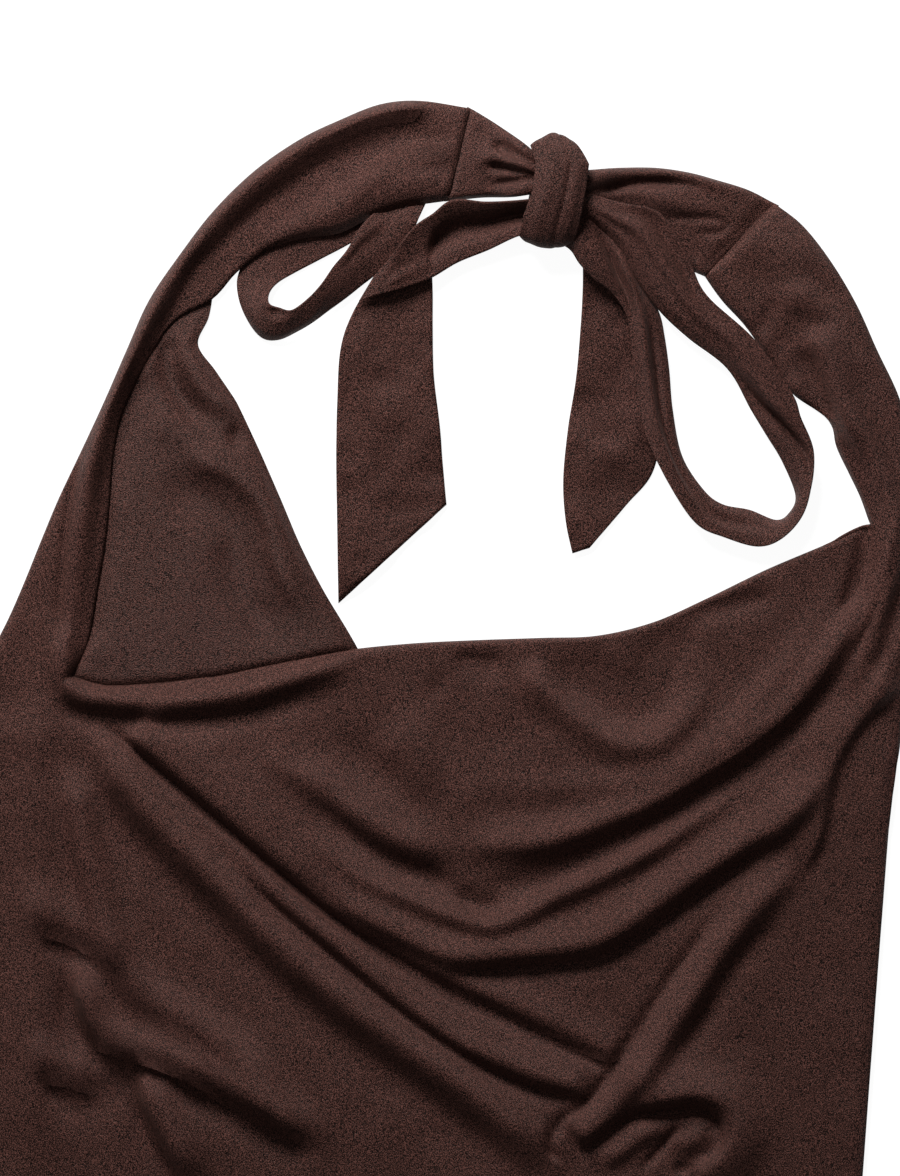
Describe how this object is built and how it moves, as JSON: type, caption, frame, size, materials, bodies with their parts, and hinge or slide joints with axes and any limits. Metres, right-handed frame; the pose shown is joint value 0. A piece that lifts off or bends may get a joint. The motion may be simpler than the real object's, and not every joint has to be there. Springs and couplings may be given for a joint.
{
  "type": "halter top",
  "caption": "Cowl-neck halter top laid flat: draped front, wide straps, inner facing, back, and ties knotted in a bow.",
  "frame": {"origin": "centre of the part's box, on the surface that the top lies on", "axes": "+Y up the garment from hem to knot, +Z away from the surface out of the front, +X to the right as seen from the front"},
  "size_m": [0.4319, 0.6155, 0.0199],
  "materials": {
    "jersey": "soft satin-faced knit"
  },
  "bodies": {
    "root": {"front": "jersey", "facing": "jersey", "back": "jersey", "tie_left": "jersey", "tie_right": "jersey", "knot": "jersey", "loop_left": "jersey", "loop_right": "jersey", "tail_left": "jersey", "tail_right": "jersey"}
  },
  "joints": []
}
